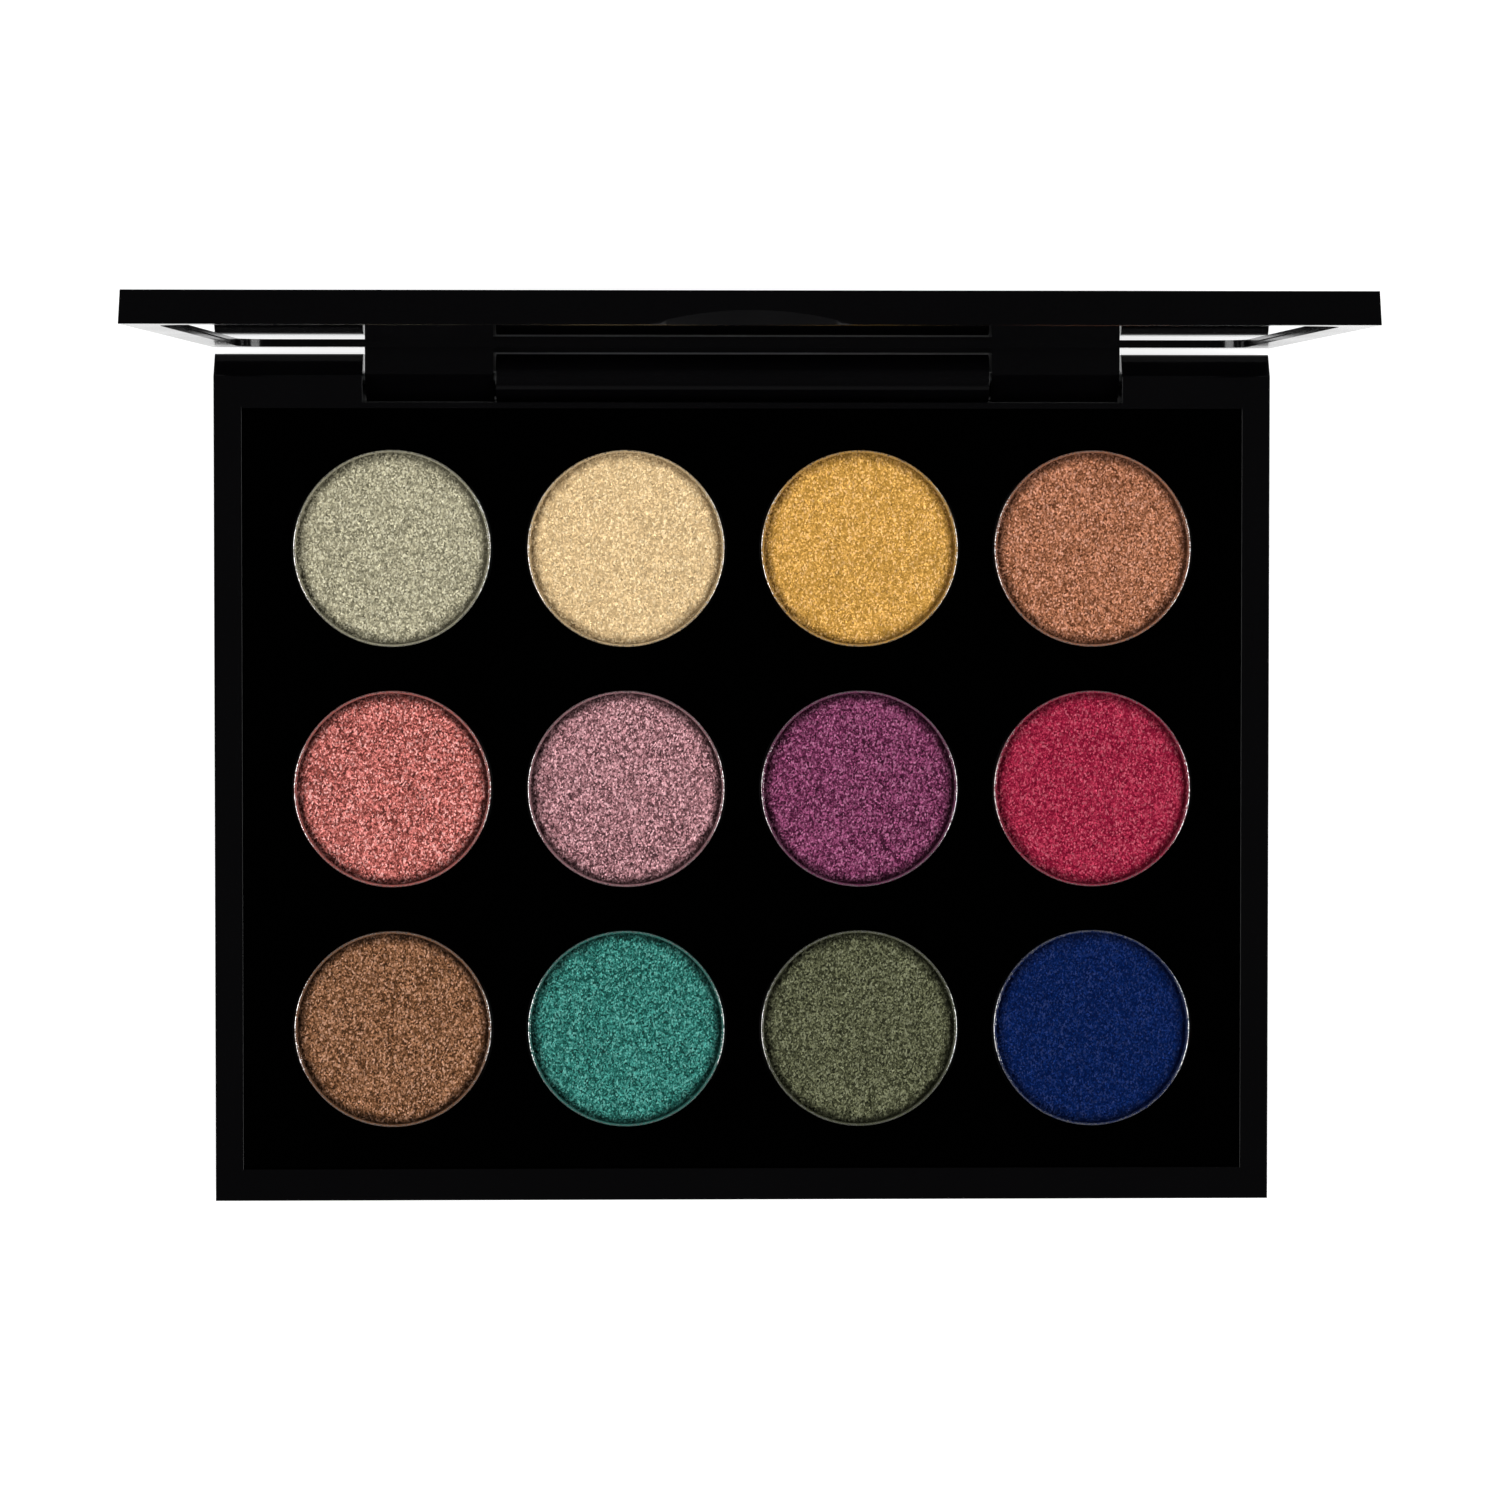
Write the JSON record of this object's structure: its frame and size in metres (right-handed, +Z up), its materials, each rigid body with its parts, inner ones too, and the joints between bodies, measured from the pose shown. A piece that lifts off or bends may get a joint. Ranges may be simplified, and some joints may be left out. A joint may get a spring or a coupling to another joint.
{
  "type": "eyeshadow palette",
  "caption": "Slim rectangular makeup compact with round pressed-powder pans in a drop-in deck and a mirrored lid on a rear pin hinge.",
  "frame": {"origin": "centre of the base's flat underside", "axes": "+Z up out of the underside, +X along the hinge to the right, +Y from the front edge to the hinge"},
  "size_m": [0.14, 0.117, 0.1146],
  "materials": {
    "case": "satin black moulded plastic",
    "deck": "smooth deep black moulded plastic",
    "tin": "bright drawn tin",
    "glue": "clear adhesive",
    "pin": "ground steel",
    "magnet": "nickel plated",
    "mirror": "polished silvered glass",
    "tape": "double-sided foam tape",
    "powder_sage": "pressed shimmer powder",
    "powder_champagne": "pressed shimmer powder",
    "powder_gold": "pressed shimmer powder",
    "powder_copper": "pressed shimmer powder",
    "powder_rose": "pressed shimmer powder",
    "powder_mauve": "pressed shimmer powder",
    "powder_plum": "pressed shimmer powder",
    "powder_raspberry": "pressed shimmer powder",
    "powder_bronze": "pressed shimmer powder",
    "powder_teal": "pressed shimmer powder",
    "powder_olive": "pressed shimmer powder",
    "powder_navy": "pressed shimmer powder"
  },
  "bodies": {
    "base": {"base_tray": "case", "pan_insert": "deck", "pan_sage": "tin", "shadow_sage": "powder_sage", "adhesive_sage": "glue", "pan_champagne": "tin", "shadow_champagne": "powder_champagne", "adhesive_champagne": "glue", "pan_gold": "tin", "shadow_gold": "powder_gold", "adhesive_gold": "glue", "pan_copper": "tin", "shadow_copper": "powder_copper", "adhesive_copper": "glue", "pan_rose": "tin", "shadow_rose": "powder_rose", "adhesive_rose": "glue", "pan_mauve": "tin", "shadow_mauve": "powder_mauve", "adhesive_mauve": "glue", "pan_plum": "tin", "shadow_plum": "powder_plum", "adhesive_plum": "glue", "pan_raspberry": "tin", "shadow_raspberry": "powder_raspberry", "adhesive_raspberry": "glue", "pan_bronze": "tin", "shadow_bronze": "powder_bronze", "adhesive_bronze": "glue", "pan_teal": "tin", "shadow_teal": "powder_teal", "adhesive_teal": "glue", "pan_olive": "tin", "shadow_olive": "powder_olive", "adhesive_olive": "glue", "pan_navy": "tin", "shadow_navy": "powder_navy", "adhesive_navy": "glue", "hinge_pin_left": "pin", "hinge_pin_right": "pin", "base_magnet_left": "magnet", "base_magnet_right": "magnet"},
    "lid": {"lid_shell": "case", "mirror": "mirror", "mirror_tape": "tape", "lid_magnet_left": "magnet", "lid_magnet_right": "magnet"}
  },
  "joints": [
    {"name": "lid_hinge", "type": "hinge", "parent": "base", "child": "lid", "pos_m": [0, 0.05315, 0.0052], "axis": [1, 0, 0], "range_deg": [-30, 90]}
  ]
}
